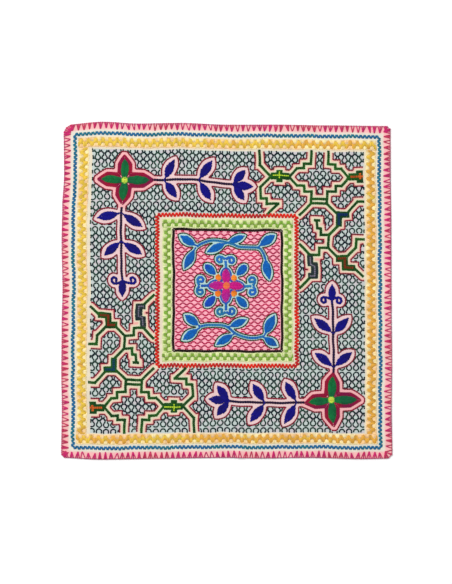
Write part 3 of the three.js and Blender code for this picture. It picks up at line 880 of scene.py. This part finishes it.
# Paths and fillings
def smooth(points):
    """A smooth curve through a few points."""
    points = np.array(points, float)
    padded = np.vstack([2 * points[0] - points[1], points, 2 * points[-1] - points[-2]])
    share = np.linspace(0, 1, 9)[:-1, None]
    stretches = []
    for a, b, c, d in zip(padded, padded[1:], padded[2:], padded[3:]):
        bend = 2 * a - 5 * b + 4 * c - d + share * (3 * (b - c) + d - a)
        stretches.append(b + 0.5 * share * (c - a + share * bend))
    return np.vstack([*stretches, points[-1:]])


def shifted(path, off):
    """A path moved to its left."""
    step = np.gradient(path, axis=0)
    step /= np.linalg.norm(step, axis=1)[:, None]
    return path + left_of(step) * off


def chart_place(sign, places):
    """Places on the chart of a stepped corner; sign is -1 for the one at the lower left."""
    return sign * (CHART_CENTRE + CHART_UNIT * np.array(places, float))


def fill_disc(yarn, centre, radius):
    """Parallel stitches across a round spot."""
    offset = np.arange(-radius + DISC_PITCH / 2, radius, DISC_PITCH)
    half = np.sqrt(radius**2 - offset**2) + 0.3
    starts = np.c_[centre[0] - half, centre[1] + offset]
    ends = np.c_[centre[0] + half, centre[1] + offset]
    yarn.stitches(starts, ends, **DISC_STITCH)


def fill_block(yarn, low, high):
    """Parallel stitches across the short way of a rectangle."""
    low, high = np.minimum(low, high), np.maximum(low, high)
    longer = int(high[1] - low[1] > high[0] - low[0])
    shorter = 1 - longer
    count = max(1, round((high[longer] - low[longer]) / BLOCK_PITCH))
    at = low[longer] + (np.arange(count) + 0.5) / count * (high[longer] - low[longer])
    starts, ends = np.empty((count, 2)), np.empty((count, 2))
    starts[:, longer] = ends[:, longer] = at
    starts[:, shorter], ends[:, shorter] = low[shorter] - BLOCK_REACH, high[shorter] + BLOCK_REACH
    yarn.stitches(starts, ends, **BLOCK_STITCH)


def chain_line(yarn, points, width, rise=CHAIN_RISE):
    """A line of chain stitches: each link is a narrow V that opens into the next."""
    points = np.array(points, float)
    for a, b in zip(points[:-1], points[1:]):
        length = np.linalg.norm(b - a)
        ahead = (b - a) / length
        left, past = left_of(ahead), width * CHAIN["ends"]
        count = max(1, round((length + 2 * past) / CHAIN["pitch"]))
        at = np.linspace(-past, length + past, count + 1)
        for side in (1, -1):
            starts = a + ahead * at[:-1, None] + left * side * width * CHAIN["root"]
            ends = a + ahead * (at[1:, None] + CHAIN["overlap"]) + left * side * width * CHAIN["opening"]
            yarn.stitches(starts, ends, width * CHAIN["thread"], rise, **CHAIN_STITCH)


# Bands that run round the cloth
def side_place(start, ahead, outward, along, out):
    """Points beside one side of a rectangle, from how far along it and how far out they are."""
    along, out = np.broadcast_arrays(along, out)
    return start + ahead * along[:, None] + outward * out[:, None]


def band_sides(half, centre, extend=0):
    """For each side of a rectangle: a function from (along, outward) to points, and its length."""
    sides = []
    for index, heading in enumerate((180, 270, 0, 90)):
        more = extend if index % 2 == 0 else -extend
        ahead, outward = turned(heading), turned(heading - 90)
        start = np.array(CORNERS[index][:2]) * half + centre - ahead * more
        sides.append((partial(side_place, start, ahead, outward), 2 * half[index % 2] + 2 * more))
    return sides


def zigzag_line(yarn, half, centre, period, height, width):
    """Slanting stitches that run to and fro between two lines."""
    for place, length in band_sides(half, centre):
        count = 2 * round(length / period)
        out = height / 2 * np.where(np.arange(count + 1) % 2 == 0, -1, 1)
        points = place(np.linspace(0, length, count + 1), out)
        yarn.stitches(points[:-1], points[1:], width, **LINE_STITCH)


def zigzag_band(yarn, filling, half, centre, reach, swing, thick, square):
    """A broad zigzag of stitches laid across a band, and paler stitches in the notches beside it."""
    for place, length in band_sides(half, centre, reach):
        count = round(length / BAND_PERIOD) * BAND_COLUMNS
        along = (np.arange(count) + 0.5) / count * length
        triangle = 1 - 4 * np.abs(np.arange(count) / BAND_COLUMNS % 1 - 0.5)
        middle = swing * np.clip(square * triangle, -1, 1)
        width = length / count * BAND_OVERLAP
        starts, ends = place(along, middle - thick / 2), place(along, middle + thick / 2)
        yarn.stitches(starts, ends, width, **BAND_STITCH)
        for side in (1, -1):
            some = reach - side * middle - thick / 2 > NOTCH_ROOM
            inner = middle[some] + side * (thick / 2 - NOTCH_UNDER)
            starts, ends = place(along[some], inner), place(along[some], side * reach)
            filling.stitches(starts, ends, width, **FILLING_STITCH)


# Nets of thread
def meander(level, shift):
    """A line that loops over one round cell and under the next, all along a double row of them."""
    period, radius = MEANDER["period"], MEANDER["radius"]
    cells = int(2 * FIELD["half"][0] / period) + 2
    number = np.arange(-cells, cells + 1)
    over = np.where(number % 2 == 0, 1, -1)
    x = number * period / 2 + shift
    y = level + over * MEANDER["row"] / 2 + MEANDER_SWAY * np.sin(x / 43 + level / 31)
    x, y = x + rng.normal(0, MEANDER_UNEVEN, len(x)), y + rng.normal(0, MEANDER_UNEVEN, len(y))
    radii = radius * rng.uniform(*RADIUS_RANGE, len(x))[:, None]
    arc_x = x[:, None] + radii * np.cos(MEANDER_ARC)
    arc_y = y[:, None] + radii * np.sin(MEANDER_ARC) * over[:, None]
    return np.c_[arc_x.ravel(), arc_y.ravel()]


def meander_net(yarn, room):
    """Meanders one under another, whose round cells fit between each other in staggered rows."""
    rows, count = 0, 0
    row, top = MEANDER["row"], FIELD["half"][1]
    while rows * row < 2 * top + 2 * row:
        line = meander(top - rows * row, rows % 2 * MEANDER["period"] / 2) + FIELD["centre"]
        thread = {"rise": NET_RISES[count % 2], "stitch": MEANDER["stitch"], **NET_THREAD}
        sew_runs(yarn, line, room, FIELD_RUN, MEANDER["width"], **thread)
        rows += MEANDER_ROWS[count % len(MEANDER_ROWS)]
        count += 1


def wavy_net(yarn, room, spacing, period, neck, width):
    """Wavy lines, each the mirror of the next, so that they meet and part in rows of cells."""
    half_width, half_height = PANEL["half"]
    count = int(half_height / spacing)
    for k in range(-count, count + 1):
        along = np.arange(-half_width, half_width, NET_STEP)
        drift = NET_SWAY * np.sin(along / 37 + k // 2 * 0.62)
        phase = np.abs((along + drift) / period % 1 - 0.5)
        share = np.clip((PART_FROM - 2 * phase) / PART_OVER, 0, 1)
        apart = neck + (spacing - 2 * neck) * share * share * (3 - 2 * share) - spacing / 2
        lateral = k * spacing + (1 if k % 2 else -1) * apart + rng.normal(0, 0.1)
        path = np.c_[along, lateral] + PANEL["centre"]
        thread = {"rise": NET_RISES[k % 2], "stitch": period / 3, **NET_THREAD}
        sew_runs(yarn, path, room, PANEL_RUN, width, **thread)


# Ground cloth
def corner_middle(right, up, radius):
    """The point round which a corner of the outline turns."""
    return np.array([right * (HALF_WIDTH - radius), up * (HALF_HEIGHT - radius)])


def rounded(xy):
    """Points all over a rectangle, drawn in at its corners so that these are round."""
    for right, up, radius in CORNERS:
        centre = corner_middle(right, up, radius + GROUND_INSET)
        off = (xy - centre) * (right, up)
        beyond = (off > 0).all(axis=1)
        squared = off[beyond].max(axis=1) / np.linalg.norm(off[beyond], axis=1)
        xy[beyond] = centre + (xy - centre)[beyond] * squared[:, None]
    return xy


def ground_cloth(flowers, branches, field_motifs, inner):
    """A thin closed sheet that knows how far each place is from the motifs."""
    columns, rows = round(2 * HALF_WIDTH / GROUND_CELL), round(2 * HALF_HEIGHT / GROUND_CELL)
    right, top = HALF_WIDTH - GROUND_INSET, HALF_HEIGHT - GROUND_INSET
    grid = np.meshgrid(np.linspace(-right, right, columns + 1), np.linspace(-top, top, rows + 1))
    xy = rounded(np.stack(grid, -1).reshape(-1, 2))
    index = np.arange(len(xy)).reshape(rows + 1, columns + 1)
    rim = np.zeros(index.shape)
    rim[[0, -1], :] = rim[:, [0, -1]] = 1
    rim = rim.ravel() * GROUND_THICKNESS * RIM_THINNING
    face = np.c_[xy, -rim]
    under = np.c_[xy, rim - GROUND_THICKNESS]
    quads = np.stack([index[:-1, :-1], index[:-1, 1:], index[1:, 1:], index[1:, :-1]], -1).reshape(-1, 4)
    around = np.concatenate([index[0, :-1], index[:-1, -1], index[-1, :0:-1], index[:0:-1, 0]])
    following = np.roll(around, -1)
    shift = len(xy)
    walls = np.c_[following, around, around + shift, following + shift]
    faces = [np.concatenate([quads, quads[:, ::-1] + shift, walls[:, ::-1]])]
    piece = new_mesh("ground_cloth", to_world(np.vstack([face, under])), faces)
    field, panel = in_field(xy), in_panel(xy)
    values = {
        "mint": np.minimum(field_motifs.at(xy) - FIELD_RING, field),
        "outside": np.where(field < 0, -field, -np.minimum(field, 9)),
        "panel": panel,
        "pink": np.minimum(inner.at(xy) - PANEL_RING, panel),
        "edge": np.minimum(HALF_WIDTH - np.abs(xy[:, 0]), HALF_HEIGHT - np.abs(xy[:, 1])),
        "flower": flowers.at(xy),
        "branch": branches.at(xy),
    }
    for name, value in values.items():
        plain = -BACK_VALUE if name in INSIDE_VALUES else BACK_VALUE
        set_values(piece, name, np.r_[value, np.full(len(xy), plain)])
    piece.data.materials.append(ground_material())
    return piece


# The work in thread, and the shapes that its nets and outlines keep away from
def sew_flowers(flowers):
    """The petals, borders and eyes of the corner flowers."""
    for number, centre in enumerate(FLOWERS):
        arms = Distance()
        for _, heading, length, width in (row for row in PETALS if row[0] == number):
            fill_leaf(yarns["flower_petals"], Leaf(centre, heading, length, width), petal_half)
            arm = Leaf(centre, heading, length + PETAL_BORDER + 1, width + 2 * PETAL_BORDER)
            arms.polygon(leaf_outline(arm, arm_half))
        flowers.merge(arms)
        for depth, rise in BORDER_ROWS:
            for path in arms.contours(-depth):
                yarns["flower_borders"].strand(path, rise=rise, **BORDER_THREAD)
        fill_disc(yarns["flower_eyes"], centre, EYE_RADIUS)
        circle = centre + turned(np.linspace(0, 360, 25)) * EYE_RADIUS
        yarns["flower_eye_rims"].strand(circle, **EYE_RIM_THREAD)


def sew_branches(branches):
    """The leaves, stems and curls of the branches."""
    leaves = yarns["branch_leaves"]
    for number in range(len(BRANCHES)):
        branch = Branch(number)
        for leaf in branch.leaves:
            add_leaf(branches, leaf, *FIELD_POINT)
            fill_leaf(leaves, leaf)
        fill_disc(leaves, branch.base + branch.ahead * TIP_FILL["ahead"], TIP_FILL["radius"])
        for index, path in enumerate(branch.stems):
            width = SCROLL_WIDTH if index else STEM_WIDTH
            branches.line(resampled(path, 2), width / 2 - STEM_RING_CUT)
            yarn = leaves if index else yarns["branch_stems"]
            yarn.strand(path, width, **STEM_STITCH)


def sew_stepped_corners(stepped):
    """The stepped lines and blocks of two corners, one the other turned half round."""
    for sign in (1, -1):
        for points in STEPPED_LINES:
            path = chart_place(sign, points)
            chain_line(yarns["stepped_lines"], path, CHART_WIDTH)
            for a, b in zip(path[:-1], path[1:]):
                if np.abs(a - b).min() < 0.01:
                    low, high = np.minimum(a, b), np.maximum(a, b)
                    stepped.rectangle(low - CHART_WIDTH / 2, high + CHART_WIDTH / 2)
                else:
                    stepped.line([a, b], CHART_WIDTH / 2)
        for colour, left, right, bottom, top in STEPPED_BLOCKS:
            low, high = chart_place(sign, [(left, bottom), (right, top)])
            fill_block(yarns["blocks_" + colour], low, high)
            stepped.rectangle(low, high)
        for colour, width, points in STEPPED_INLAYS:
            chain_line(yarns["blocks_" + colour], chart_place(sign, points), width, INLAY_RISE)


def sew_vines(inner):
    """The leaves and stems of the panel's vines."""
    for x, y, heading, length, width in VINE_LEAVES:
        leaf = Leaf(np.array([x, y]), heading, length, width)
        add_leaf(inner, leaf, *PANEL_POINT)
        fill_leaf(yarns["vine_leaves"], leaf)
    for points in VINES:
        path = resampled(smooth(points), 1.5)
        inner.line(resampled(path, 4), VINE_RADIUS)
        for off in VINE_THREAD_SIDES:
            yarns["vine_stems"].strand(shifted(path, off), VINE_THREAD, **STEM_STITCH)


def sew_ornament(inner):
    """A plain rosette of petals, with dots and leaves between them and curls beyond."""
    dots, centre, petals = yarns["ornament_dots"], ORNAMENT_CENTRE, Distance()
    for heading in (0, 90, 180, 270):
        ahead, across = turned(heading), turned(heading + 45)
        petal = Leaf(centre, heading, *ORNAMENT["petal"])
        petals.polygon(leaf_outline(petal, petal_half))
        fill_leaf(yarns["ornament_petals"], petal, petal_half)
        dot = centre + across * ORNAMENT["dot_away"]
        fill_disc(dots, dot, ORNAMENT["dot"])
        inner.line(dot, ORNAMENT["dot"])
        leaf = Leaf(centre + across * ORNAMENT["leaf_start"], heading + 45, *ORNAMENT["leaf"])
        fill_leaf(yarns["ornament_leaves"], leaf, petal_half)
        inner.polygon(leaf_outline(leaf, petal_half))
        end = centre + ahead * ORNAMENT_CURL["end"]
        lines = [np.array([centre + ahead * ORNAMENT_CURL["start"], end])]
        for handed in (1, -1):
            lines.append(scroll_path(end, heading, handed, ORNAMENT_CURL["away"], ORNAMENT_CURL["radius"]))
        for path in lines:
            yarns["ornament_curls"].strand(path, SCROLL_WIDTH, **STEM_STITCH)
            inner.line(resampled(path, 2), SCROLL_WIDTH / 2)
    for path in petals.contours(ORNAMENT_EDGE["middle"]):
        yarns["ornament_edges"].strand(path, ORNAMENT_EDGE["width"], **STEM_STITCH)
    petals.value -= ORNAMENT_EDGE["edge"]
    inner.merge(petals)
    fill_disc(dots, centre, ORNAMENT["eye"])


def sew_outlines(plants, stepped, inner):
    """Thin lines round the motifs, as far as there is room."""
    def beside_plants(xy):
        return np.minimum(in_field(xy), plants.at(xy) - FIELD_RING)

    for distance, level, room, name, width in (
        (plants, FIELD_RING, in_field, "motif_outlines", FIELD_OUTLINE),
        (stepped, FIELD_RING, beside_plants, "motif_outlines", FIELD_OUTLINE),
        (inner, PANEL_RING, in_panel, "panel_outlines", PANEL_OUTLINE),
    ):
        for path in distance.contours(level):
            sew_runs(yarns[name], path, room, OUTLINE_RUN, width, **OUTLINE_THREAD)


def sew_nets(field_motifs, inner):
    """The nets between the outlines."""
    def field_room(xy):
        return np.minimum(in_field(xy) + NET_PAST, field_motifs.at(xy) - FIELD_RING)

    def panel_room(xy):
        return np.minimum(in_panel(xy), inner.at(xy) - PANEL_RING)

    meander_net(yarns["field_net"], field_room)
    wavy_net(yarns["panel_net"], panel_room, **PANEL_NET)


def sew_bands():
    """The zigzag lines and bands, and the two black threads round the panel."""
    zigzag_line(yarns["blue_line"], **BLUE_LINE)
    zigzag_band(yarns["gold_band"], yarns["gold_filling"], **GOLD_BAND)
    zigzag_line(yarns["red_line"], **RED_LINE)
    zigzag_band(yarns["green_band"], yarns["green_filling"], **GREEN_BAND)
    for off in BLACK_LINE_SIDES:
        for place, length in band_sides(np.array(PANEL["half"]) + off, PANEL["centre"]):
            yarns["black_line"].strand(place([0, length], 0), **BLACK_THREAD)


def edge_places(spacing):
    """Points on the outline and their outward headings, anticlockwise."""
    places = []
    for index, (corner, following) in enumerate(zip(CORNERS, CORNERS[1:] + CORNERS[:1])):
        centre, radius = corner_middle(*corner), corner[2]
        turns = max(2, round(radius * math.pi / 2 / spacing))
        for i in range(turns):
            heading = index * 90 + i / turns * 90
            places.append((*(centre + turned(heading) * radius), heading))
        outward = index * 90 + 90
        start = centre + turned(outward) * radius
        end = corner_middle(*following) + turned(outward) * following[2]
        steps = round(np.linalg.norm(end - start) / spacing)
        for i in range(steps):
            places.append((*(start + (end - start) * i / steps), outward))
    return np.array(places)


def sew_edge():
    """Closed blanket stitches, each two legs that meet in a point, and the thread along the rim."""
    places = edge_places(EDGE_STITCH["pitch"])
    outward = turned(places[:, 2])
    sideways = left_of(outward)
    depth = EDGE_STITCH["depth"] * rng.uniform(*DEPTH_RANGE, len(places))
    spread = EDGE_STITCH["width"] / 2 * rng.uniform(*WIDTH_RANGE, len(places))
    lean = rng.normal(0, LEAN, len(places))
    shares, heights = np.array(EDGE_WRAP).T
    to_rim = np.clip(1 - shares, 0, 1)
    full = np.ones((len(shares), 1))
    full[[0, -1]] = 0.6
    rim = places[:, :2] - outward * EDGE_STITCH["inset"]
    inward = -outward * depth[:, None]
    for side in (1, 0, -1):
        off = side * spread[:, None] * to_rim + lean[:, None] * (1 - to_rim)
        xy = rim[:, None] + inward[:, None] * shares[:, None] + sideways[:, None] * off[:, :, None]
        z = np.broadcast_to(heights, off.shape)
        centres = np.dstack([xy, z])
        step = np.gradient(centres, axis=1)
        step /= np.linalg.norm(step, axis=2, keepdims=True)
        across = np.dstack([np.broadcast_to(-sideways[:, None], xy.shape), 0 * z])
        upward = np.cross(step, across)
        moves = np.diff(centres, axis=1, prepend=centres[:, :1])
        reach = np.cumsum(np.linalg.norm(moves, axis=2), axis=1)
        some = np.full(len(places), True) if side else rng.random(len(places)) < MIDDLE_SHARE
        across, upward = across * full * EDGE_STITCH["thick"] / 2, upward * full * EDGE_STITCH["high"] / 2
        yarns["edge_stitches"].tubes(centres[some], across[some], upward[some], reach[some])
    rim = edge_places(RIM_SPACING)
    path = rim[:, :2] - RIM_INSET * turned(rim[:, 2])
    path = np.vstack([path, path[:1]])
    yarns["edge_thread"].strand(path, **RIM_THREAD)


# Stage, light and camera
def set_camera():
    """A camera straight above, at which a pixel is as wide as in the photo."""
    data = bpy.data.cameras.new("camera")
    data.lens, data.sensor_width = LENS_MM, SENSOR_MM
    camera = new_object("camera", data)
    height = LENS_MM / SENSOR_MM * IMAGE_HEIGHT_PX * MM_PER_PX + FACE_HEIGHT
    camera.location = (VIEW_CENTRE[0] / 1000, VIEW_CENTRE[1] / 1000, height / 1000)
    bpy.context.scene.camera = camera


def area_light(name, location, size, power):
    """A square lamp turned towards the middle of the cloth."""
    data = bpy.data.lights.new(name, "AREA")
    data.size, data.energy = size, power
    light = new_object(name, data)
    light.location = location
    towards = -np.array(location) / np.linalg.norm(location)
    light.rotation_euler = (math.acos(-towards[2]), 0, math.atan2(-towards[0], towards[1]))


def set_stage():
    """A pale floor, an even white sky and one large lamp."""
    corners = FLOOR_HALF * np.array([(-1, -1, 0), (1, -1, 0), (1, 1, 0), (-1, 1, 0)], float)
    floor = new_mesh("floor", corners, [np.array([[0, 1, 2, 3]])])
    floor.location.z = -FLOOR_GAP
    floor.data.materials.append(floor_material())
    world = bpy.data.worlds.new("studio")
    world.use_nodes = True
    sky = world.node_tree.nodes["Background"]
    sky.inputs["Color"].default_value = grey(1)
    sky.inputs["Strength"].default_value = SKY
    bpy.context.scene.world = world
    area_light("key", **KEY)
    bpy.context.scene.view_settings.view_transform = "Standard"
    return floor


set_camera()
floor = set_stage()
yarns = {}
for name, tones in THREADS.items():
    yarns[name] = Yarn(name, yarn_material(name, *tones, **DYE.get(name, {})), MORE_SIDES.get(name, SIDES))
flowers, branches, stepped, inner = (Distance() for _ in range(4))
sew_flowers(flowers)
sew_branches(branches)
plants = Distance().merge(flowers).merge(branches)
sew_stepped_corners(stepped)
field_motifs = Distance().merge(plants).merge(stepped)
sew_vines(inner)
sew_ornament(inner)
sew_outlines(plants, stepped, inner)
sew_nets(field_motifs, inner)
sew_bands()
sew_edge()
ground = ground_cloth(flowers, branches, field_motifs, inner)
made = [yarn.finish() for yarn in yarns.values()]
for piece in [ground, *made]:
    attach(piece, "root")
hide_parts("cloth")
